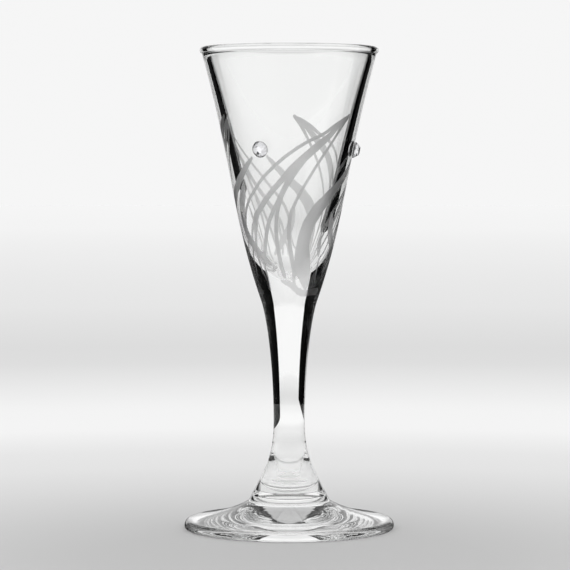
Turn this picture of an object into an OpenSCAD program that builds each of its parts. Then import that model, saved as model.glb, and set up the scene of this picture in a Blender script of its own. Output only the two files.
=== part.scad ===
// Small stemmed spirits glass: a tapered bowl on a slender solid stem and a round foot, three pieces
// of clear glass fused end to end, with three faceted flat-back crystals bonded round the bowl.
// The origin is the middle of the ring that the foot rests on and +Z runs up the axis of the glass.
// Azimuths are counted from the front, which faces -Y, towards +X. Millimetres and degrees.

/* [Bowl] */
// Height of the whole glass, from the table to the top of the rim
glass_h = 143.5; // [130:0.5:160]
// Outer diameter of the bowl's wall where the rim bead begins
rim_d = 51.7; // [48:0.1:56]
// Thickness of the wall where the rim bead begins
rim_wall = 2.1; // [1.4:0.1:2.4]
// Lean of the outer wall at the rim, away from the axis
rim_lean = 15; // [10:0.5:20]
// Depth of the fire-polished rim, from its top to where the plain wall begins
rim_drop = 2.3; // [2:0.1:3]
// Thickness of the rounded bead on the rim
bead_d = 2.1; // [1.6:0.1:2.4]
// How far the bead stands out of the line of the outer wall
bead_out = 0.4; // [0.1:0.05:0.6]
// Thickness of solid glass from the weld up to the bottom of the cavity
floor_t = 7.1; // [5:0.1:9]
// Diameter of the cavity at its shoulder, where the wall turns in to the rounded bottom
shoulder_d = 15.2; // [13:0.1:17]
// Height of the shoulder above the bottom of the cavity
shoulder_h = 7.4; // [5:0.1:9]

/* [Stem] */
// Height of the weld between bowl and stem above the table
weld_z = 68; // [64:0.5:72]
// Diameter of the weld between bowl and stem
weld_d = 16.7; // [15:0.1:18]
// Lean of the outer wall at the weld, away from the axis
weld_lean = 19; // [14:0.5:24]
// Diameter of the stem at its waist, the thinnest place
waist_d = 9.3; // [7.5:0.1:11]
// Height of the waist above the table
waist_z = 32; // [29:0.5:36]
// Diameter of the stem where its flare runs into the weld fillet
flare_d = 23.6; // [21:0.1:25]
// Height above the foot's top face at which the flare runs into the weld fillet
flare_h = 1; // [0.6:0.1:1.6]
// Lean of the flare at the weld fillet, away from the axis
flare_lean = 27; // [20:0.5:32]
// Depth of the ripples that the hot forming left round the flare
ripple_h = 0.06; // [0.03:0.01:0.2]

/* [Foot] */
// Diameter of the foot
foot_d = 62.6; // [58:0.1:68]
// Diameter of the weld between stem and foot, which shows as a crease
crease_d = 26; // [25.4:0.1:28]
// Height of the weld between stem and foot above the table
crease_z = 7.7; // [7:0.1:9]
// Fall of the foot's top at the crease, below the horizontal
foot_fall = 30; // [22:0.5:36]
// Fall of the foot's top where it reaches the rounded edge
edge_fall = 8; // [4:0.5:14]
// Height of the foot's top where the rounded edge begins
edge_h = 2.7; // [2.3:0.1:3.4]
// Width of the rounded part of the edge
edge_w = 1.2; // [0.8:0.1:1.8]
// Height of the foot's widest line above the table
belly_z = 0.9; // [0.7:0.05:1.3]
// Radius of the edge under the widest line
edge_under_r = 0.7; // [0.4:0.05:0.7]
// Width of the flat ring that the foot rests on
rest_w = 1.6; // [1:0.1:3]
// Rise of the hollow under the foot at its middle
hollow_h = 1.8; // [0.8:0.1:3]

/* [Crystals] */
// Height of the crystals above the table, at their seats on the bowl
stone_z = 113; // [100:0.5:125]
// Azimuth of the front crystal
stone_turn = -26; // [-60:1:60]
// How far the rear crystal was bonded off its even place round the bowl, in azimuth
rear_slip = -1.5; // [-5:0.1:5]
// How much lower than the others the rear crystal was bonded
rear_drop = 0.25; // [0:0.05:2]
// Diameter of a crystal
stone_d = 4.8; // [4:0.1:6]
// Thickness of a crystal's straight girdle
girdle_t = 0.3; // [0.2:0.05:0.5]
// Height of a crystal's faceted crown above the girdle
crown_h = 1.4; // [1:0.05:2]
// Diameter of the flat table on a crystal, across its corners
table_d = 2.5; // [1.8:0.1:3]
// Thickness of the mirror foil on the back of a crystal
foil_t = 0.08; // [0.05:0.01:0.15]
// Thickness of the adhesive at its thinnest, between foil and bowl
bond_t = 0.12; // [0.08:0.01:0.3]
// Diameter of the adhesive
bond_d = 4.3; // [3:0.1:4.6]

/* [Hidden] */

// Colours of the four materials
clear_glass = [0.86, 0.89, 0.9, 0.45];
cut_crystal = [0.94, 0.95, 0.97, 0.7];
silver_foil = [0.78, 0.79, 0.8];
clear_bond = [0.8, 0.8, 0.76, 0.6];

// Smoothness of the curves and of the circles that they turn through, finer at the crystals' small seats
curve_steps = 18;
arc_steps = 12;
$fn = 96;
seat_fn = 720;

// Pulls of the curves: how far each one holds its lean beyond its end point
rim_pull = 40;
weld_pull_up = 27.4;
weld_pull_down = 4;
waist_pull_up = 19;
waist_pull_down = 11;
flare_pull = 10;
cavity_rim_lean = 16.5;
cavity_rim_pull = 36;
shoulder_lean = 23.1;
shoulder_pull_up = 17;
shoulder_pull_down = 2.5;
floor_pull = 3.2;
crease_pull = 5.6;
edge_pull = 4.9;
hollow_pull = 14;

// Heights of the valleys between the ripples, as shares of the way up from the foot to the waist
ripple_shares = [0.09, 0.16, 0.26, 0.39];

// The cut of a crystal: corners of its table, and how far down the crown its star facets end
table_corners = 12;
star_share = 0.45;

// Azimuth from each crystal to the next, and the seats as [azimuth, height]
stone_step = 120;
front_seat = [stone_turn, stone_z];
right_seat = [stone_turn + stone_step, stone_z];
rear_seat = [stone_turn + 2 * stone_step + rear_slip, stone_z - rear_drop];
// How deep a cutting body reaches behind the surface that it meets
overrun = 0.6;

// Ends of the curves, as [radius, height]
rim_outer = [rim_d / 2, glass_h - rim_drop];
rim_inner = rim_outer - [rim_wall, 0];
weld_edge = [weld_d / 2, weld_z];
waist = [waist_d / 2, waist_z];
flare_end = [flare_d / 2, crease_z + flare_h];
crease = [crease_d / 2, crease_z];
floor_z = weld_z + floor_t;
shoulder = [shoulder_d / 2, floor_z + shoulder_h];
edge_top = [foot_d / 2 - edge_w, edge_h];
belly = [foot_d / 2, belly_z];
rest_outer = [foot_d / 2 - edge_under_r, 0];
rest_inner = rest_outer - [rest_w, 0];
bead_r = bead_d / 2;
bead_middle = [rim_outer.x + tan(rim_lean) * (rim_drop - bead_r) + bead_out - bead_r, glass_h - bead_r];

// A point at some length from p along a line that leans away from the axis as it rises
function reach(p, lean, length) = p + length * [sin(lean), cos(lean)];

// A cubic curve from a to d that leaves a towards b and reaches d from c
function curve(a, b, c, d) = [
    for (i = [0 : curve_steps])
        let (t = i / curve_steps, s = 1 - t)
            s * s * s * a + 3 * s * s * t * b + 3 * s * t * t * c + t * t * t * d
];

// A round stretch about a middle, from one angle to another
function arc(middle, radius, from, to) = [
    for (i = [0 : arc_steps])
        let (a = from + (to - from) * i / arc_steps)
            middle + radius * [cos(a), sin(a)]
];

// A list without its first point, so that stretches join without doubling a point
function rest_of(points) = [for (i = [1 : len(points) - 1]) points[i]];

// Outline of the bowl's outer wall, from the weld up to the rim bead
bowl_wall = curve(weld_edge, reach(weld_edge, weld_lean, weld_pull_up),
    reach(rim_outer, rim_lean, -rim_pull), rim_outer);

// Radius and lean of the outer wall at a height
function wall_r(z) = lookup(z, [for (p = bowl_wall) [p.y, p.x]]);
function wall_lean(z) = atan((wall_r(z + stone_d / 2) - wall_r(z - stone_d / 2)) / stone_d);

// Outline of the cavity, from the rim bead down to the middle of its bottom
cavity_wall = concat(
    curve(rim_inner, reach(rim_inner, cavity_rim_lean, -cavity_rim_pull),
        reach(shoulder, shoulder_lean, shoulder_pull_up), shoulder),
    rest_of(curve(shoulder, reach(shoulder, shoulder_lean, -shoulder_pull_down),
        [floor_pull, floor_z], [0, floor_z])));

// Bead on the rim, from its outer foot over the top to its inner foot
rim_bead = arc(bead_middle, bead_r, -50, 190);

// Outline of the stem's flare without ripples, from the waist down to the weld fillet
flare_wall = curve(waist, waist - [0, waist_pull_down], reach(flare_end, -flare_lean, flare_pull), flare_end);
function flare_r(z) = lookup(z, [for (p = flare_wall) [p.y, p.x]]);

// Heights of the valleys between the ripples
ripple_zs = [for (share = ripple_shares) crease_z + (waist_z - crease_z) * share];
ripple_count = len(ripple_zs) - 1;

// One ripple, a low hump on the flare from its upper valley down towards its lower one
function ripple(i) = [
    for (k = [0 : arc_steps - 1])
        let (z = ripple_zs[i + 1] + (ripple_zs[i] - ripple_zs[i + 1]) * k / arc_steps)
            [flare_r(z) + ripple_h * sin(180 * k / arc_steps) / (i + 1), z]
];

// Outline of the stem, from the weld down to the crease; its ripples fade upwards
stem_wall = concat(
    curve(weld_edge, reach(weld_edge, weld_lean, -weld_pull_down), waist + [0, waist_pull_up], waist),
    [for (p = rest_of(flare_wall)) if (p.y > ripple_zs[ripple_count]) p],
    [for (i = [ripple_count - 1 : -1 : 0]) each ripple(i)],
    [[flare_r(ripple_zs[0]), ripple_zs[0]], flare_end, crease]);

// Outline of the foot's top, from the crease out to the widest line
edge_curve = curve(edge_top, reach(edge_top, 90 + edge_fall, edge_w / 2),
    (belly + [belly.x, edge_top.y]) / 2, belly);
foot_top = concat(
    curve(crease, reach(crease, 90 + foot_fall, crease_pull),
        reach(edge_top, 90 + edge_fall, -edge_pull), edge_top),
    rest_of(edge_curve));

// Outline of the foot's underside, from the widest line in to the middle of the hollow
foot_under = concat(
    [belly],
    arc(rest_outer + [0, edge_under_r], edge_under_r, 0, -90),
    curve(rest_inner, rest_inner + [-hollow_pull / 2, hollow_h / 2], [hollow_pull, hollow_h], [0, hollow_h]));

// Carries a crystal's parts, drawn along +Z from the wall, to a seat on the bowl
module seated(seat) {
    turn = seat[0];
    height = seat[1];
    rotate([0, 0, turn])
        translate([0, -wall_r(height), height])
            rotate([90 + wall_lean(height), 0, 0])
                children();
}

// Points of one ring of a crystal's corners
function ring(count, radius, height, shift) = [
    for (i = [0 : count - 1])
        let (a = (i + shift) * 360 / count)
            [radius * cos(a), radius * sin(a), height]
];

// One crystal, its flat back at the origin: table, star facets, kite facets and girdle facets
module crystal() {
    n = table_corners;
    stone_r = stone_d / 2;
    table_r = table_d / 2;
    star_r = (table_r + (stone_r - table_r) * star_share) / cos(180 / n);
    table_ring = ring(n, table_r, girdle_t + crown_h, 0);
    star_ring = ring(n, star_r, girdle_t + crown_h * (1 - star_share), 1 / 2);
    girdle_ring = ring(2 * n, stone_r, girdle_t, 0);
    back_ring = ring(2 * n, stone_r, 0, 0);
    first_star = n;
    first_girdle = 2 * n;
    first_back = 4 * n;
    polyhedron(
        points = concat(table_ring, star_ring, girdle_ring, back_ring),
        faces = concat(
            [[for (i = [n - 1 : -1 : 0]) i]],
            [for (i = [0 : n - 1]) [i, (i + 1) % n, first_star + i]],
            [for (i = [0 : n - 1]) [i, first_star + i, first_girdle + 2 * i]],
            [for (i = [0 : n - 1]) [i, first_girdle + 2 * i, first_star + (i + n - 1) % n]],
            [for (i = [0 : n - 1]) [first_star + i, first_girdle + 2 * i + 1, first_girdle + 2 * i]],
            [for (i = [0 : n - 1])
                [first_star + i, first_girdle + (2 * i + 2) % (2 * n), first_girdle + 2 * i + 1]],
            [for (i = [0 : 2 * n - 1])
                let (next = (i + 1) % (2 * n))
                    [first_girdle + i, first_girdle + next, first_back + next, first_back + i]],
            [[for (i = [0 : 2 * n - 1]) first_back + i]]));
}

// Bowl: solid of revolution round its cavity, with a rounded rim and a flat weld face underneath
module bowl() {
    color(clear_glass)
        rotate_extrude()
            polygon(concat([[0, weld_z]], bowl_wall, rim_bead, cavity_wall));
}

// Stem: solid, drawn in to a waist and flared with ripples to the foot, flat at both welds
module stem() {
    color(clear_glass)
        rotate_extrude()
            polygon(concat([[0, weld_z]], stem_wall, [[0, crease_z]]));
}

// Foot: a low cone with a rounded edge, standing on a flat ring round a shallow hollow
module foot() {
    color(clear_glass)
        rotate_extrude()
            polygon(concat([[0, crease_z]], foot_top, rest_of(foot_under)));
}

// Crystal on its foil
module stone(seat) {
    color(cut_crystal)
        seated(seat)
            translate([0, 0, bond_t + foil_t])
                crystal();
}

// Mirror foil under a crystal, with the same corners as its back
module foil(seat) {
    color(silver_foil)
        seated(seat)
            translate([0, 0, bond_t])
                linear_extrude(foil_t)
                    polygon([for (p = ring(2 * table_corners, stone_d / 2, 0, 0)) [p.x, p.y]]);
}

// Adhesive between a foil and the bowl: flat outside, and the shape of the wall inside
module bond(seat) {
    color(clear_bond)
        difference() {
            seated(seat)
                translate([0, 0, -overrun])
                    cylinder(h = overrun + bond_t, d = bond_d);
            rotate_extrude($fn = seat_fn)
                polygon(concat([[0, weld_z]], bowl_wall, [[0, rim_outer.y]]));
        }
}

bowl();
stem();
foot();
stone(front_seat);  // front_crystal
stone(right_seat);  // right_crystal
stone(rear_seat);  // rear_crystal
foil(front_seat);  // front_foil
foil(right_seat);  // right_foil
foil(rear_seat);  // rear_foil
bond(front_seat);  // front_bond
bond(right_seat);  // right_bond
bond(rear_seat);  // rear_bond
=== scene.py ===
from math import atan2, cos, pi, radians, sin, tan

import bmesh
import bpy
from mathutils import Matrix, Vector
from mathutils.geometry import interpolate_bezier

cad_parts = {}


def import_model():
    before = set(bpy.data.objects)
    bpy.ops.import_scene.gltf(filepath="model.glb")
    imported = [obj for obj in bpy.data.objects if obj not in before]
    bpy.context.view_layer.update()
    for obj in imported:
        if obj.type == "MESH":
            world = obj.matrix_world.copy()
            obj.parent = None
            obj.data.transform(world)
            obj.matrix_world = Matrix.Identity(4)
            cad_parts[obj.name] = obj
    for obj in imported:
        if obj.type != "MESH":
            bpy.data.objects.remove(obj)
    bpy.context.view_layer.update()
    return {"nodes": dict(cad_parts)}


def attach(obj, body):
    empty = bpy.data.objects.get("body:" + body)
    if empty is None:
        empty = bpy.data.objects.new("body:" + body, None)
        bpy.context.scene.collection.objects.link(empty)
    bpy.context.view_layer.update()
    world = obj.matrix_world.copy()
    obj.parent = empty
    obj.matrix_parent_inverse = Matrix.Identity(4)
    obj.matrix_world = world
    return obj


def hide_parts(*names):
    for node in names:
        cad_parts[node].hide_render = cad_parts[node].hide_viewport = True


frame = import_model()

# Camera
# It stands in front of the glass, a little above the middle of its height, and looks slightly down.
# Its height, distance and lens give the photograph's own view of the glass.

CAMERA_DISTANCE = 0.760
CAMERA_HEIGHT = 0.10685
CAMERA_LOOKS_DOWN = 2.573
CAMERA_ASIDE = -0.00125
LENS = 161.04
FILM_WIDTH = 36
NEAREST_SEEN = 0.01

camera_data = bpy.data.cameras.new("camera")
camera_data.lens = LENS
camera_data.sensor_width = FILM_WIDTH
camera_data.clip_start = NEAREST_SEEN
camera = bpy.data.objects.new("camera", camera_data)
camera.location = (CAMERA_ASIDE, -CAMERA_DISTANCE, CAMERA_HEIGHT)
camera.rotation_euler = (radians(90 - CAMERA_LOOKS_DOWN), 0, 0)
bpy.context.collection.objects.link(camera)
bpy.context.scene.camera = camera


# Studio
# A wide pale floor in even light. Only the clear glass shows the room round it: a bright backdrop under a
# ceiling with a dark cornice, dark walls, and on the left a low window and a lamp. Three black flags at
# both sides, out of the camera's sight, draw the dark edges of its walls.

FLOOR_REACH, FLOOR_SEGMENTS, FLOOR_DROP, FLOOR_ROUGHNESS = 7.0, 128, 0.00005, 0.9
FLOOR_MIDDLE, GLASS_MIDDLE = (0, -0.06, 0), (0, 0, 0)
# The floor's grey at each distance from its middle, in metres: painted shade darkens it round the glass, and
# a painted sheen gives a brighter band and a dimmer band further out, before its own pale grey far off.
FLOOR_SHADE_AND_SHEEN = (
    (0.0, 0.54), (0.06, 0.56), (0.10, 0.62), (0.16, 0.71), (0.22, 0.78),
    (0.27, 0.80), (0.36, 0.91), (0.45, 0.90), (0.60, 0.80), (0.72, 0.73),
    (0.85, 0.72), (1.3, 0.79), (2.3, 0.84), (4.0, 0.90), (7.0, 0.92),
)
# Through the glass the floor is painted a little brighter, with a painted pool of light round the foot, a
# painted glow right under it and a painted patch of light, as from a pale card, in front on the left. Its
# mirror images are painted dimmer, most of all near the glass, and those of a third reflection or later are
# painted to fade beyond the foot.
POOL_FULL, POOL_END, POOL_GREY = 0.04, 0.12, 0.82
GLOW_FULL, GLOW_END, GLOW = 0.026, 0.031, 0.34
LIGHT_PATCH_MIDDLE, LIGHT_PATCH_FULL, LIGHT_PATCH_END, LIGHT_PATCH = (-0.24, -0.13, 0), 0.14, 0.24, 0.25
GLASS_GLOW = 0.12
MIRROR_DIM, MIRROR_FULL, MIRROR_NEAR, MIRROR_FAR = 0.05, 0.62, 0.5, 1.2
FAINT_FROM, FAINT_DIM, FAINT_NEAR, FAINT_FAR = 2.5, 0.08, 0.12, 0.16
# Each flag stands upright: how far aside, its near and far end, its lower and upper edge, in metres.
FLAGS = {
    "flag_right": (0.155, 0.03, 0.33, 0, 0.30),
    "flag_left": (-0.165, 0.088, 0.355, 0.075, 0.30),
    "flag_low": (-0.297, 0.158, 0.639, 0, 0.12),
}
# An edge in the room is an angle in degrees, up from the horizon or aside from straight ahead, and how
# far it softens to both sides.
BACKDROP_SIDE, UPPER_START, CEILING_START = (50, 5), (16.5, 3.5), (31.5, 1.5)
HORIZON_TOP, HORIZON_SIDE = (6, 2), (13, 3)
CORNICE_TOP, CORNICE_START, CORNICE_END = (42, 2), (25, 2), (41, 2)
WINDOW_TOP, WINDOW_END = (8, 3), (125, 10)
LAMP_TOP, LAMP_START, LAMP_END = (22, 2), (98, 3), (142, 3)
BACKDROP_GREY, UPPER_GREY, HORIZON_GREY, CEILING_GREY, CORNICE_GREY = 1.03, 0.88, 0.62, 0.50, 0.04
ROOM_GREY, WINDOW_GREY, SEEN_GREY, LIGHT_GREY = 0.03, 0.86, 0.92, 1.0
BOUNCES, MIRROR_BOUNCES = 32, 16


def principled(name, color=(1, 1, 1), roughness=0):
    material = bpy.data.materials.new(name)
    material.use_nodes = True
    shader = material.node_tree.nodes["Principled BSDF"]
    shader.inputs["Base Color"].default_value = (*color, 1)
    shader.inputs["Roughness"].default_value = roughness
    return material, material.node_tree, shader


def place(name, mesh, materials):
    data = bpy.data.meshes.new(name)
    mesh.to_mesh(data)
    mesh.free()
    for material in materials:
        data.materials.append(material)
    piece = bpy.data.objects.new(name, data)
    bpy.context.collection.objects.link(piece)
    return piece


def feed(tree, socket, value):
    if isinstance(value, bpy.types.NodeSocket):
        tree.links.new(value, socket)
    else:
        socket.default_value = value


def math_node(tree, operation, *values):
    node = tree.nodes.new("ShaderNodeMath")
    node.operation = operation
    for socket, value in zip(node.inputs, values):
        feed(tree, socket, value)
    return node.outputs[0]


def product(tree, first, *others):
    for other in others:
        first = math_node(tree, "MULTIPLY", first, other)
    return first


def smooth_step(tree, value, low, high):
    node = tree.nodes.new("ShaderNodeMapRange")
    node.interpolation_type = "SMOOTHSTEP"
    feed(tree, node.inputs["Value"], value)
    feed(tree, node.inputs["From Min"], low)
    feed(tree, node.inputs["From Max"], high)
    return node.outputs["Result"]


def past(tree, value, edge):
    middle, softness = edge
    return smooth_step(tree, value, middle - softness, middle + softness)


def before(tree, value, edge):
    middle, softness = edge
    return smooth_step(tree, value, middle + softness, middle - softness)


def mixed(tree, share, first, second):
    node = tree.nodes.new("ShaderNodeMix")
    feed(tree, node.inputs["Factor"], share)
    feed(tree, node.inputs["A"], first)
    feed(tree, node.inputs["B"], second)
    return node.outputs["Result"]


def position(tree):
    return tree.nodes.new("ShaderNodeTexCoord").outputs["Object"]


def distance(tree, start, middle):
    node = tree.nodes.new("ShaderNodeVectorMath")
    node.operation = "DISTANCE"
    feed(tree, node.inputs[0], start)
    feed(tree, node.inputs[1], middle)
    return node.outputs["Value"]


def mirrored_only(tree, ray):
    refracted = math_node(tree, "ADD", ray["Is Transmission Ray"], 0.5)
    return math_node(tree, "GREATER_THAN", ray["Is Glossy Ray"], refracted)


def not_scattered(tree, ray):
    return math_node(tree, "LESS_THAN", ray["Diffuse Depth"], 0.5)


# Painted shade and sheen: the floor's grey by distance from its middle, darker round the glass.
def floor_shade_and_sheen(tree):
    away = math_node(tree, "DIVIDE", distance(tree, position(tree), FLOOR_MIDDLE), FLOOR_REACH)
    shade_and_sheen = tree.nodes.new("ShaderNodeValToRGB")
    feed(tree, shade_and_sheen.inputs[0], away)
    stops = shade_and_sheen.color_ramp.elements
    while len(stops) < len(FLOOR_SHADE_AND_SHEEN):
        stops.new(0.5)
    for stop, (reached, grey) in zip(stops, FLOOR_SHADE_AND_SHEEN):
        stop.position = reached / FLOOR_REACH
        stop.color = (grey, grey, grey, 1)
    return shade_and_sheen.outputs[0]


def floor_material():
    material, tree, shader = principled("pale_floor", roughness=FLOOR_ROUGHNESS)
    shader.inputs["Specular IOR Level"].default_value = 0
    ray = tree.nodes.new("ShaderNodeLightPath").outputs
    shade_and_sheen = floor_shade_and_sheen(tree)
    from_glass = distance(tree, position(tree), GLASS_MIDDLE)

    # A painted pool of light round the foot, seen only through the glass.
    pool = product(tree, smooth_step(tree, from_glass, POOL_END, POOL_FULL), ray["Is Transmission Ray"])
    # Painted dimming of the floor's mirror images, and of late reflections beyond the foot.
    mirrored = mixed(tree, smooth_step(tree, from_glass, MIRROR_NEAR, MIRROR_FAR), MIRROR_DIM, MIRROR_FULL)
    dimming = mixed(tree, mirrored_only(tree, ray), 1.0, mirrored)
    late = math_node(tree, "GREATER_THAN", ray["Glossy Depth"], FAINT_FROM)
    late = product(tree, late, smooth_step(tree, from_glass, FAINT_NEAR, FAINT_FAR))
    fading = mixed(tree, late, 1.0, FAINT_DIM)
    lit = product(tree, mixed(tree, pool, shade_and_sheen, POOL_GREY), dimming, fading)
    feed(tree, shader.inputs["Base Color"], lit)

    # Painted light seen only through the glass: a glow under the foot, a patch in front on the left and a
    # little on the whole floor.
    under_foot = product(tree, smooth_step(tree, from_glass, GLOW_END, GLOW_FULL), GLOW)
    from_light_patch = distance(tree, position(tree), LIGHT_PATCH_MIDDLE)
    light_patch = product(tree, smooth_step(tree, from_light_patch, LIGHT_PATCH_END, LIGHT_PATCH_FULL), LIGHT_PATCH)
    glow = math_node(tree, "ADD", under_foot, light_patch)
    glow = math_node(tree, "ADD", product(tree, shade_and_sheen, GLASS_GLOW), glow)
    feed(tree, shader.inputs["Emission Color"], product(tree, glow, ray["Is Transmission Ray"], fading))
    shader.inputs["Emission Strength"].default_value = 1
    return material


def flag_material():
    material, tree, shader = principled("flag_black", (0, 0, 0), 1)
    shader.inputs["Specular IOR Level"].default_value = 0
    ray = tree.nodes.new("ShaderNodeLightPath").outputs
    feed(tree, shader.inputs["Alpha"], not_scattered(tree, ray))
    return material


def room_world():
    world = bpy.data.worlds.new("studio")
    world.use_nodes = True
    tree = world.node_tree
    ray = tree.nodes.new("ShaderNodeLightPath").outputs
    heading = tree.nodes.new("ShaderNodeSeparateXYZ")
    feed(tree, heading.inputs[0], tree.nodes.new("ShaderNodeTexCoord").outputs["Generated"])
    rise = math_node(tree, "DEGREES", math_node(tree, "ARCSINE", heading.outputs["Z"]))
    turn = math_node(tree, "ARCTAN2", heading.outputs["X"], heading.outputs["Y"])
    aside = math_node(tree, "DEGREES", math_node(tree, "ABSOLUTE", turn))
    on_left = math_node(tree, "LESS_THAN", turn, 0)

    window = product(tree, before(tree, rise, WINDOW_TOP), on_left, before(tree, aside, WINDOW_END))
    lamp = product(tree, before(tree, rise, LAMP_TOP), past(tree, aside, LAMP_START))
    lamp = product(tree, lamp, before(tree, aside, LAMP_END), on_left, ray["Is Transmission Ray"])
    around = mixed(tree, math_node(tree, "MAXIMUM", window, lamp), ROOM_GREY, WINDOW_GREY)

    ceiling = past(tree, rise, CEILING_START)
    cornice = product(tree, ceiling, before(tree, rise, CORNICE_TOP))
    cornice = product(tree, cornice, past(tree, aside, CORNICE_START), before(tree, aside, CORNICE_END))
    horizon = product(tree, before(tree, rise, HORIZON_TOP), before(tree, aside, HORIZON_SIDE))
    horizon = product(tree, horizon, mirrored_only(tree, ray))
    ahead = mixed(tree, past(tree, rise, UPPER_START), BACKDROP_GREY, UPPER_GREY)
    ahead = mixed(tree, horizon, ahead, HORIZON_GREY)
    ahead = mixed(tree, ceiling, ahead, CEILING_GREY)
    ahead = mixed(tree, cornice, ahead, CORNICE_GREY)

    room = mixed(tree, past(tree, aside, BACKDROP_SIDE), ahead, around)
    elsewhere = mixed(tree, ray["Is Camera Ray"], LIGHT_GREY, SEEN_GREY)
    by_glass = math_node(tree, "MAXIMUM", ray["Is Glossy Ray"], ray["Is Transmission Ray"])
    by_glass = product(tree, by_glass, not_scattered(tree, ray))
    feed(tree, tree.nodes["Background"].inputs["Color"], mixed(tree, by_glass, elsewhere, room))
    return world


floor_mesh = bmesh.new()
bmesh.ops.create_circle(floor_mesh, cap_ends=True, radius=FLOOR_REACH, segments=FLOOR_SEGMENTS)
bmesh.ops.translate(floor_mesh, verts=floor_mesh.verts, vec=(0, 0, -FLOOR_DROP))
place("floor", floor_mesh, [floor_material()])

flag_black = flag_material()
for name, (aside, near, far, low, high) in FLAGS.items():
    flag_mesh = bmesh.new()
    outline = ((near, low), (near, high), (far, high), (far, low))
    flag_mesh.faces.new([flag_mesh.verts.new((aside, along, height)) for along, height in outline])
    flag = place(name, flag_mesh, [flag_black])
    flag.visible_camera = False
    flag.visible_diffuse = False
    flag.visible_shadow = False

scene = bpy.context.scene
scene.world = room_world()
scene.view_settings.view_transform = "Standard"
scene.cycles.max_bounces = BOUNCES
scene.cycles.transmission_bounces = BOUNCES
scene.cycles.glossy_bounces = MIRROR_BOUNCES
scene.cycles.transparent_max_bounces = BOUNCES


# Bowl
# Blown clear glass: a tapered wall with a fire-polished bead on the rim and a thick solid bottom.
# It is fused to the stem at a flat weld, and matt scrolls are sand-blasted into the outer wall.

GLASS_HEIGHT = 0.1435
RIM_RADIUS, RIM_DROP, RIM_WALL, RIM_LEAN = 0.02585, 0.0023, 0.0021, 15
BEAD_RADIUS, BEAD_OUT, BEAD_START, BEAD_END = 0.00105, 0.0004, -30, 190
WELD_RADIUS, WELD_HEIGHT, WELD_LEAN = 0.00835, 0.068, 19
SHOULDER_RADIUS, SHOULDER_HEIGHT, SHOULDER_LEAN = 0.0076, 0.0074, 23.1
FLOOR_THICKNESS, CAVITY_LEAN = 0.0071, 16.5
# A bend places a curve's pull from one of its ends: a lean outwards from straight up in degrees, and a
# distance along that lean in metres, which runs backwards where it has a minus.
WALL_AT_WELD, WALL_AT_RIM = (WELD_LEAN, 0.0274), (RIM_LEAN, -0.040)
RIM_AT_WALL, RIM_AT_BEAD = (RIM_LEAN, 0.0005), (30, -0.0004)
LIP_AT_BEAD, LIP_AT_CAVITY = (10, -0.0005), (CAVITY_LEAN, 0.0005)
CAVITY_AT_LIP, CAVITY_AT_SHOULDER = (CAVITY_LEAN, -0.036), (SHOULDER_LEAN, 0.0170)
BOTTOM_AT_SHOULDER, BOTTOM_AT_MIDDLE = (SHOULDER_LEAN, -0.0025), (90, 0.0032)
TURN_STEPS, SHARP_ANGLE, SAME_POINT, SAME_HEIGHT = 240, 35, 1e-7, 1e-6
PLAIN_SLOT, WELD_SLOT, SCROLL_SLOT = 0, 1, 2
GLASS_COLOR, GLASS_REFRACTION = (0.985, 0.988, 0.985), 1.5
WAVE_SCALE, WAVE_STRETCH, WAVE_DEPTH = 110, (1, 1, 0.4), 0.00001


def at(radius, height):
    return Vector((radius, 0, height))


def reach(point, lean, length):
    return point + length * Vector((sin(radians(lean)), 0, cos(radians(lean))))


def curve(start, start_bend, end, end_bend, steps):
    return interpolate_bezier(start, reach(start, *start_bend), reach(end, *end_bend), end, steps + 1)


def arc(middle, radius, start, end, steps):
    turns = [radians(start + (end - start) * step / steps) for step in range(steps + 1)]
    return [middle + radius * Vector((cos(turn), 0, sin(turn))) for turn in turns]


def joined(*stretches):
    points = []
    for stretch in stretches:
        for point in stretch:
            if not points or (point - points[-1]).length > SAME_POINT:
                points.append(point)
    return points


def turned(profile, weld_heights):
    mesh = bmesh.new()
    verts = [mesh.verts.new(point) for point in profile]
    edges = [mesh.edges.new(pair) for pair in zip(verts, verts[1:])]
    bmesh.ops.spin(
        mesh, geom=verts + edges, cent=(0, 0, 0), axis=(0, 0, 1), angle=2 * pi, steps=TURN_STEPS,
        use_merge=True,
    )
    bmesh.ops.remove_doubles(mesh, verts=mesh.verts, dist=SAME_POINT)
    bmesh.ops.recalc_face_normals(mesh, faces=mesh.faces)
    for face in mesh.faces:
        face.smooth = True
        height = face.calc_center_median().z
        on_weld = any(abs(height - weld) < SAME_HEIGHT for weld in weld_heights)
        face.material_index = WELD_SLOT if on_weld else PLAIN_SLOT
    for edge in mesh.edges:
        if edge.calc_face_angle(0) > radians(SHARP_ANGLE):
            edge.smooth = False
    return mesh


weld_edge = at(WELD_RADIUS, WELD_HEIGHT)
rim_outer = at(RIM_RADIUS, GLASS_HEIGHT - RIM_DROP)
rim_inner = rim_outer - at(RIM_WALL, 0)
bead_middle = at(
    RIM_RADIUS + tan(radians(RIM_LEAN)) * (RIM_DROP - BEAD_RADIUS) + BEAD_OUT - BEAD_RADIUS,
    GLASS_HEIGHT - BEAD_RADIUS,
)
cavity_floor = at(0, WELD_HEIGHT + FLOOR_THICKNESS)
shoulder = cavity_floor + at(SHOULDER_RADIUS, SHOULDER_HEIGHT)

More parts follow.
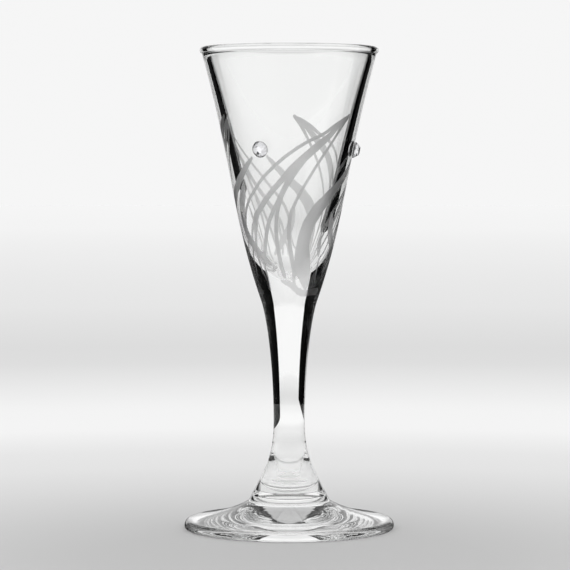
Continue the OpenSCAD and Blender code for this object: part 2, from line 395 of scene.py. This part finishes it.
outer_wall = curve(weld_edge, WALL_AT_WELD, rim_outer, WALL_AT_RIM, steps=72)
bead = arc(bead_middle, BEAD_RADIUS, BEAD_START, BEAD_END, steps=22)
bead_outside = curve(rim_outer, RIM_AT_WALL, bead[0], RIM_AT_BEAD, steps=8)
bead_inside = curve(bead[-1], LIP_AT_BEAD, rim_inner, LIP_AT_CAVITY, steps=6)
cavity_wall = curve(rim_inner, CAVITY_AT_LIP, shoulder, CAVITY_AT_SHOULDER, steps=60)
cavity_bottom = curve(shoulder, BOTTOM_AT_SHOULDER, cavity_floor, BOTTOM_AT_MIDDLE, steps=20)
bowl_profile = joined(
    [at(0, WELD_HEIGHT)], outer_wall, bead_outside, bead, bead_inside, cavity_wall, cavity_bottom
)


def noise_group():
    group = bpy.data.node_groups.new("noise_field", "ShaderNodeTree")
    group.interface.new_socket("Scale", in_out="INPUT", socket_type="NodeSocketFloat")
    group.interface.new_socket("Stretch", in_out="INPUT", socket_type="NodeSocketVector")
    group.interface.new_socket("Value", in_out="OUTPUT", socket_type="NodeSocketFloat")
    given = group.nodes.new("NodeGroupInput").outputs
    mapping = group.nodes.new("ShaderNodeMapping")
    feed(group, mapping.inputs["Vector"], position(group))
    feed(group, mapping.inputs["Scale"], given["Stretch"])
    field = group.nodes.new("ShaderNodeTexNoise")
    feed(group, field.inputs["Vector"], mapping.outputs["Vector"])
    feed(group, field.inputs["Scale"], given["Scale"])
    feed(group, group.nodes.new("NodeGroupOutput").inputs["Value"], field.outputs[0])
    return group


noise_field = noise_group()


def noise(tree, scale, stretch=(1, 1, 1)):
    node = tree.nodes.new("ShaderNodeGroup")
    node.node_tree = noise_field
    feed(tree, node.inputs["Scale"], scale)
    feed(tree, node.inputs["Stretch"], stretch)
    return node.outputs["Value"]


def glass_material(name):
    material, tree, shader = principled(name, GLASS_COLOR)
    shader.inputs["Transmission Weight"].default_value = 1
    shader.inputs["IOR"].default_value = GLASS_REFRACTION
    waves = tree.nodes.new("ShaderNodeBump")
    waves.inputs["Distance"].default_value = WAVE_DEPTH
    feed(tree, waves.inputs["Height"], noise(tree, WAVE_SCALE, WAVE_STRETCH))
    feed(tree, shader.inputs["Normal"], waves.outputs["Normal"])
    return material


def weld_material():
    material, _, shader = principled("fused_weld")
    shader.inputs["Alpha"].default_value = 0
    shader.inputs["Specular IOR Level"].default_value = 0
    return material


# Each stroke of the scrolls runs down the wall through points of height in millimetres, turn from the
# front in degrees and half width in millimetres. The whole pattern repeats three times round the bowl.
STROKES = (
    ((122.9, 54.8, 0.4), (120, 41, 0.6), (117.6, 30.5, 0.5), (114.8, 14, 0.5), (111.7, 0, 0.5),
     (107.8, -15, 0.5), (104.4, -27, 0.5), (100.8, -38, 0.5), (97.6, -48, 0.5), (94, -56, 0.5),
     (90, -60.5, 0.45), (86.5, -62, 0.35), (83, -67, 0.3), (79.7, -75, 0.3), (76.5, -75, 0.3),
     (73.7, -72.5, 0.2)),
    ((122.9, 55, 0.45), (120.2, 45.5, 0.7), (117.2, 36.5, 0.9), (113.4, 23.5, 1.2), (108.7, 7.5, 1.2),
     (104.7, -5, 0.9), (100.1, -19.5, 0.8), (96.2, -31, 0.85), (92.2, -41, 0.95), (88.2, -44, 0.6),
     (84.3, -46.6, 0.5), (80.8, -47, 0.45), (79.1, -45.6, 0.35), (77.2, -44.2, 0.3), (75.1, -40, 0.3),
     (71.9, -37, 0.25)),
    ((93, -40.5, 0.6), (88.2, -50, 0.45), (84.3, -53, 0.4), (81.3, -57.5, 0.35), (79.6, -58, 0.3),
     (77.4, -58.4, 0.3), (75.5, -59, 0.2)),
    ((111.5, 17, 0.6), (106.5, 5, 1.0), (102.8, -2.5, 0.85), (98, -11, 0.75), (95, -17.5, 0.6),
     (90.3, -25.5, 0.6), (86.4, -30, 0.6), (82, -34.6, 0.55), (78, -37.5, 0.4), (76, -36.3, 0.35),
     (71.6, -35.3, 0.3)),
    ((99.5, -8, 0.7), (95, -12.5, 0.55), (91, -15, 0.6), (87, -15.5, 0.6), (83, -14, 0.6),
     (79, -11.5, 0.6), (75.5, -7, 0.45)),
    ((122.9, 55.5, 0.45), (120, 49, 0.55), (115.2, 40, 0.45), (109.5, 28.5, 0.45), (104.5, 19, 0.45),
     (100.5, 11.5, 0.45), (96.5, 5, 0.5), (93, 0.8, 0.55), (88, -0.2, 0.6), (84.5, 0.8, 0.6),
     (81, 3.5, 0.65), (77, 7, 0.6), (74.5, 7.7, 0.45), (72.5, 9, 0.5)),
    ((110.6, 84, 0.4), (107, 72.5, 1.0), (103, 58.5, 1.3), (99.4, 44.5, 1.6), (94, 29, 2.0),
     (89, 20.3, 1.95), (84, 17.4, 2.1), (79, 19.5, 2.5), (77.5, 19.7, 2.45), (75.7, 23, 1.95),
     (74.5, 25, 1.5), (73, 27.7, 1.05), (71.9, 28.8, 0.5), (71, 29, 0.2)),
    ((94.5, -66, 0.5), (92, -65, 1.0), (89, -62, 1.3), (86.5, -57, 1.4), (84, -49, 1.2),
     (82, -41, 1.1), (80.3, -33, 0.8), (79, -26, 0.4)),
)
# The ribbon runs round the bottom of each repeat, through points of turn, height and half width.
RIBBON = (
    (-12.5, 74.4, 0.35), (-10, 74.1, 0.5), (-2, 73.6, 0.8), (10, 72.1, 0.9), (20, 71, 1.0),
    (30, 70.6, 0.95), (41, 70.9, 1.0), (54, 71, 1.1), (62, 71, 0.9),
)
SCROLLS_LOW, SCROLLS_HIGH, RIBBON_MIDDLE, RIBBON_RADIUS, REPEAT = 66, 126, 20, 9.5, 120
# At the back the strokes stop above the solid bottom.
BARE_SIDE, BARE_TOP = (152.5, 2.5), (79, 1)
STROKE_EDGE, PAST_END, PAST_WIDTH, SLOPE_STEP = (0, 0.06), 0.6, -0.6, 0.004
MILLIMETRES = 1000
# The matt grey at each share of the scrolls' height: a grey for the etched glass, darkened towards the top
# by painted shade.
MATT_GREY_AND_SHADE = ((0.05, 0.58), (0.25, 0.53), (0.45, 0.43), (0.65, 0.46), (0.8, 0.40), (0.92, 0.31))
MATT_ROUGHNESS = 0.45
GRAIN_SCALE, GRAIN_SHARE, GRAIN_ROUGHNESS, GRAIN_COLOR = 5000, 0.35, 0.12, 0.16
# The places of a Mix node's colour sockets.
COLOR_A, COLOR_B, COLOR_RESULT = 6, 7, 2


def float_curve(tree, along, points):
    node = tree.nodes.new("ShaderNodeFloatCurve")
    node.mapping.use_clip = False
    node.mapping.extend = "HORIZONTAL"
    stops = node.mapping.curves[0].points
    while len(stops) < len(points):
        stops.new(0.5, 0)
    for stop, spot in zip(stops, sorted(points)):
        stop.location = spot
        stop.handle_type = "AUTO_CLAMPED"
    node.mapping.update()
    feed(tree, node.inputs["Value"], along)
    return node.outputs["Value"]


def stroke_mask(tree, along, across, scale, stroke, span, period=None):
    first, last = min(stroke)[0], max(stroke)[0]
    middles = [(reached, value) for reached, value, width in stroke]
    widths = [(reached, width) for reached, value, width in stroke]
    widths += [(first - PAST_END / span, PAST_WIDTH), (last + PAST_END / span, PAST_WIDTH)]
    middle = float_curve(tree, along, middles)
    ahead = float_curve(tree, math_node(tree, "ADD", along, SLOPE_STEP), middles)
    offset = math_node(tree, "SUBTRACT", across, middle)
    if period:
        offset = math_node(tree, "WRAP", offset, period / 2, -period / 2)
    slope = product(tree, math_node(tree, "SUBTRACT", ahead, middle), 1 / (SLOPE_STEP * span), scale)
    stretch = math_node(tree, "SQRT", math_node(tree, "MULTIPLY_ADD", slope, slope, 1.0))
    away = product(tree, math_node(tree, "ABSOLUTE", offset), scale)
    away = math_node(tree, "DIVIDE", away, stretch)
    inside = math_node(tree, "SUBTRACT", float_curve(tree, along, widths), away)
    return past(tree, inside, STROKE_EDGE)


def scroll_mask(tree):
    spot = tree.nodes.new("ShaderNodeSeparateXYZ")
    feed(tree, spot.inputs[0], position(tree))
    x, y, z = (product(tree, spot.outputs[axis], MILLIMETRES) for axis in "XYZ")
    turn = math_node(tree, "ARCTAN2", x, product(tree, y, -1))
    radius = math_node(tree, "SQRT", math_node(tree, "MULTIPLY_ADD", x, x, product(tree, y, y)))
    tall = SCROLLS_HIGH - SCROLLS_LOW
    rise = math_node(tree, "DIVIDE", math_node(tree, "SUBTRACT", z, SCROLLS_LOW), tall)
    round_turn = math_node(tree, "SUBTRACT", turn, radians(RIBBON_MIDDLE))
    round_turn = math_node(tree, "WRAP", round_turn, radians(REPEAT / 2), radians(-REPEAT / 2))
    along = math_node(tree, "ADD", math_node(tree, "DIVIDE", round_turn, radians(REPEAT)), 0.5)

    cuts = []
    for stroke in STROKES:
        spots = [((height - SCROLLS_LOW) / tall, radians(angle), width) for height, angle, width in stroke]
        cuts.append(stroke_mask(tree, rise, turn, radius, spots, tall, radians(REPEAT)))
    spots = [((angle - RIBBON_MIDDLE) / REPEAT + 0.5, height, width) for angle, height, width in RIBBON]
    cuts.append(stroke_mask(tree, along, z, 1.0, spots, radians(REPEAT) * RIBBON_RADIUS))
    mask = cuts[0]
    for cut in cuts[1:]:
        mask = math_node(tree, "MAXIMUM", mask, cut)

    aside = math_node(tree, "DEGREES", math_node(tree, "ABSOLUTE", turn))
    bare = product(tree, past(tree, aside, BARE_SIDE), before(tree, z, BARE_TOP))
    return product(tree, mask, math_node(tree, "SUBTRACT", 1.0, bare)), rise


def scrolled_material():
    material = glass_material("scrolled_glass")
    tree = material.node_tree
    shader = tree.nodes["Principled BSDF"]
    mask, rise = scroll_mask(tree)
    grain = noise(tree, GRAIN_SCALE)

    speckle = math_node(tree, "MULTIPLY_ADD", grain, GRAIN_COLOR, 1 - GRAIN_COLOR / 2)
    color = tree.nodes.new("ShaderNodeMix")
    color.data_type = "RGBA"
    color.inputs[COLOR_A].default_value = (*GLASS_COLOR, 1)
    feed(tree, color.inputs["Factor"], mask)
    # Painted shade: the matt grey of the scrolls darkens towards the top.
    feed(tree, color.inputs[COLOR_B], product(tree, float_curve(tree, rise, MATT_GREY_AND_SHADE), speckle))
    feed(tree, shader.inputs["Base Color"], color.outputs[COLOR_RESULT])

    blasted = math_node(tree, "MULTIPLY_ADD", grain, GRAIN_ROUGHNESS, MATT_ROUGHNESS - GRAIN_ROUGHNESS / 2)
    feed(tree, shader.inputs["Roughness"], product(tree, mask, blasted))
    height = tree.nodes["Bump"].inputs["Height"]
    waves = height.links[0].from_socket
    feed(tree, height, math_node(tree, "ADD", waves, product(tree, mask, grain, GRAIN_SHARE)))
    return material


def is_outer_wall(face):
    middle = face.calc_center_median()
    above_weld = middle.z > WELD_HEIGHT + SAME_HEIGHT
    return above_weld and face.normal.dot(middle - at(0, middle.z)) > 0


fused_weld = weld_material()
bowl_mesh = turned(bowl_profile, [WELD_HEIGHT])
for face in bowl_mesh.faces:
    if is_outer_wall(face):
        face.material_index = SCROLL_SLOT
bowl = place("glass_bowl", bowl_mesh, [glass_material("bowl_glass"), fused_weld, scrolled_material()])
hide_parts("bowl")
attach(bowl, "root")


# Stem
# Solid clear glass, drawn down to a slender waist and flared to the foot.
# Faint rings round the flare are ripples that the hot forming left.

WAIST_RADIUS, WAIST_HEIGHT = 0.00465, 0.032
FLARE_RADIUS, FLARE_RISE, FLARE_LEAN = 0.0118, 0.001, -27
CREASE_RADIUS, CREASE_HEIGHT = 0.0130, 0.0077
NECK_AT_WELD, NECK_AT_WAIST = (WELD_LEAN, -0.004), (0, 0.019)
FLARE_AT_WAIST, FLARE_AT_END = (0, -0.011), (FLARE_LEAN, 0.010)
FILLET_AT_FLARE, FILLET_AT_CREASE = (FLARE_LEAN, -0.0004), (-62, 0.0006)
RIPPLE_DEPTH = 0.00006
RIPPLE_VALLEYS = (0.0099, 0.0115, 0.0140, 0.0172)


def rippled(point):
    for count, (low, high) in enumerate(zip(RIPPLE_VALLEYS, RIPPLE_VALLEYS[1:]), start=1):
        if low < point.z < high:
            return point + at(RIPPLE_DEPTH / count * sin(pi * (point.z - low) / (high - low)), 0)
    return point


waist = at(WAIST_RADIUS, WAIST_HEIGHT)
crease = at(CREASE_RADIUS, CREASE_HEIGHT)
flare_end = at(FLARE_RADIUS, CREASE_HEIGHT + FLARE_RISE)
stem_neck = curve(weld_edge, NECK_AT_WELD, waist, NECK_AT_WAIST, steps=60)
stem_flare = curve(waist, FLARE_AT_WAIST, flare_end, FLARE_AT_END, steps=160)
stem_flare = [rippled(point) for point in stem_flare]
weld_fillet = curve(flare_end, FILLET_AT_FLARE, crease, FILLET_AT_CREASE, steps=8)
stem_profile = joined([at(0, WELD_HEIGHT)], stem_neck, stem_flare, weld_fillet, [at(0, CREASE_HEIGHT)])

stem_mesh = turned(stem_profile, [WELD_HEIGHT, CREASE_HEIGHT])
stem = place("glass_stem", stem_mesh, [glass_material("stem_glass"), fused_weld])
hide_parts("stem")
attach(stem, "root")


# Foot
# Pressed clear glass disc with a low cone on top and a rounded edge.
# It stands on a flat ring round a shallow hollow.

FOOT_RADIUS = 0.0313
EDGE_WIDTH, EDGE_HEIGHT, EDGE_LEAN, BELLY_HEIGHT, UNDER_RADIUS = 0.0012, 0.0027, 98, 0.0009, 0.0007
REST_WIDTH, HOLLOW_RISE, HOLLOW_PULL, HOLLOW_POINTS = 0.0016, 0.0018, 0.014, 41
TOP_AT_CREASE, TOP_AT_EDGE = (120, 0.0056), (EDGE_LEAN, -0.0049)
EDGE_AT_TOP, EDGE_AT_BELLY = (EDGE_LEAN, 0.0006), (0, 0.0009)
SCUFF_TOP, SCUFF_SCALE, SCUFF_EDGE, SCUFF_ROUGHNESS = 0.0003, 2500, (0.55, 0.1), 0.25

edge_top = at(FOOT_RADIUS - EDGE_WIDTH, EDGE_HEIGHT)
belly = at(FOOT_RADIUS, BELLY_HEIGHT)
rest_outer = at(FOOT_RADIUS - UNDER_RADIUS, 0)
rest_inner = rest_outer - at(REST_WIDTH, 0)
hollow_pull = rest_inner + at(-HOLLOW_PULL / 2, HOLLOW_RISE / 2)
hollow_top_pull = at(HOLLOW_PULL, HOLLOW_RISE)
foot_top = curve(crease, TOP_AT_CREASE, edge_top, TOP_AT_EDGE, steps=48)
foot_edge = curve(edge_top, EDGE_AT_TOP, belly, EDGE_AT_BELLY, steps=14)
foot_under = arc(rest_outer + at(0, UNDER_RADIUS), UNDER_RADIUS, 0, -90, steps=10)
foot_hollow = interpolate_bezier(rest_inner, hollow_pull, hollow_top_pull, at(0, HOLLOW_RISE), HOLLOW_POINTS)
foot_profile = joined([at(0, CREASE_HEIGHT)], foot_top, foot_edge, foot_under, foot_hollow)


def foot_material():
    material = glass_material("foot_glass")
    tree = material.node_tree
    spot = tree.nodes.new("ShaderNodeSeparateXYZ")
    feed(tree, spot.inputs[0], position(tree))
    on_ring = smooth_step(tree, spot.outputs["Z"], SCUFF_TOP, 0)
    scuffs = past(tree, noise(tree, SCUFF_SCALE), SCUFF_EDGE)
    shader = tree.nodes["Principled BSDF"]
    feed(tree, shader.inputs["Roughness"], product(tree, on_ring, scuffs, SCUFF_ROUGHNESS))
    return material


foot_mesh = turned(foot_profile, [CREASE_HEIGHT])
foot = place("glass_foot", foot_mesh, [foot_material(), fused_weld])
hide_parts("foot")
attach(foot, "root")


# Crystals
# Three cut crystals, each with a twelve-sided table, star and kite facets and a flat mirrored back.
# Each one lies on its foil, which is bonded to the bowl's outer wall.

# Each seat is a turn to the right of the front in degrees and a height in metres.
STONE_SEATS = {"front": (-26, 0.113), "right": (94, 0.113), "rear": (212.5, 0.11275)}
STONE_RADIUS, TABLE_RADIUS, TABLE_CORNERS, STAR_SHARE = 0.0024, 0.00125, 12, 0.45
GIRDLE, CROWN, BACK = 0.0003, 0.0014, 0.0002
FLAT_ANGLE, FACES_BACK = 1, -0.9
FACET_SLOT, BACK_SLOT = 0, 1
CRYSTAL_COLOR, CRYSTAL_REFRACTION, FOIL_COLOR = (0.98, 0.98, 0.99), 1.58, (0.93, 0.93, 0.94)
POLISH_SCALE, POLISH_ROUGHNESS, FOIL_ROUGHNESS = 1500, 0.01, 0.08
BOND_SCALE, BOND_DARK, BOND_PALE, BOND_SMOOTH, BOND_ROUGH = 900, 0.05, 0.11, 0.2, 0.45


def wall_radius(height):
    for low, high in zip(outer_wall, outer_wall[1:]):
        if low.z <= height <= high.z:
            return low.x + (high.x - low.x) * (height - low.z) / (high.z - low.z)


def seat(turn, height):
    span = wall_radius(height + STONE_RADIUS) - wall_radius(height - STONE_RADIUS)
    lean = atan2(span, 2 * STONE_RADIUS)
    spot = Matrix.Translation((0, -wall_radius(height), height))
    return Matrix.Rotation(radians(turn), 4, "Z") @ spot @ Matrix.Rotation(pi / 2 + lean, 4, "X")


def brilliant(place_on_bowl):
    mesh = bmesh.new()
    star_radius = (TABLE_RADIUS + (STONE_RADIUS - TABLE_RADIUS) * STAR_SHARE) / cos(pi / TABLE_CORNERS)
    rings = (
        (TABLE_CORNERS, TABLE_RADIUS, GIRDLE + CROWN, 0),
        (TABLE_CORNERS, star_radius, GIRDLE + CROWN * (1 - STAR_SHARE), pi / TABLE_CORNERS),
        (2 * TABLE_CORNERS, STONE_RADIUS, GIRDLE, 0),
        (2 * TABLE_CORNERS, STONE_RADIUS, 0, 0),
    )
    for corners, radius, height, shift in rings:
        lifted = place_on_bowl @ Matrix.Translation((0, 0, BACK + height))
        shifted = lifted @ Matrix.Rotation(shift - pi / 2, 4, "Z")
        bmesh.ops.create_circle(mesh, segments=corners, radius=radius, matrix=shifted)
    bmesh.ops.convex_hull(mesh, input=mesh.verts)
    bmesh.ops.dissolve_limit(mesh, angle_limit=radians(FLAT_ANGLE), verts=mesh.verts, edges=mesh.edges)
    bmesh.ops.recalc_face_normals(mesh, faces=mesh.faces)
    outward = place_on_bowl.to_3x3().col[2]
    for face in mesh.faces:
        face.material_index = BACK_SLOT if face.normal.dot(outward) < FACES_BACK else FACET_SLOT
    return mesh


def crystal_material():
    material, tree, shader = principled("cut_crystal", CRYSTAL_COLOR)
    shader.inputs["Transmission Weight"].default_value = 1
    shader.inputs["IOR"].default_value = CRYSTAL_REFRACTION
    feed(tree, shader.inputs["Roughness"], product(tree, noise(tree, POLISH_SCALE), POLISH_ROUGHNESS))
    return material


def foil_material():
    material, tree, shader = principled("mirror_foil", FOIL_COLOR)
    shader.inputs["Metallic"].default_value = 1
    feed(tree, shader.inputs["Roughness"], product(tree, noise(tree, POLISH_SCALE), FOIL_ROUGHNESS))
    return material


def bond_material():
    material, tree, shader = principled("clear_bond")
    uneven = noise(tree, BOND_SCALE)
    feed(tree, shader.inputs["Base Color"], mixed(tree, uneven, BOND_DARK, BOND_PALE))
    feed(tree, shader.inputs["Roughness"], mixed(tree, uneven, BOND_SMOOTH, BOND_ROUGH))
    return material


def dress(node, material):
    piece = frame["nodes"][node]
    piece.data.materials.clear()
    piece.data.materials.append(material)


cut_crystal = crystal_material()
mirror_foil = foil_material()
clear_bond = bond_material()
for side, (turn, height) in STONE_SEATS.items():
    crystal = place(f"{side}_stone", brilliant(seat(turn, height)), [cut_crystal, mirror_foil])
    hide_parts(f"{side}_crystal")
    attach(crystal, "root")
    dress(f"{side}_foil", mirror_foil)
    dress(f"{side}_bond", clear_bond)
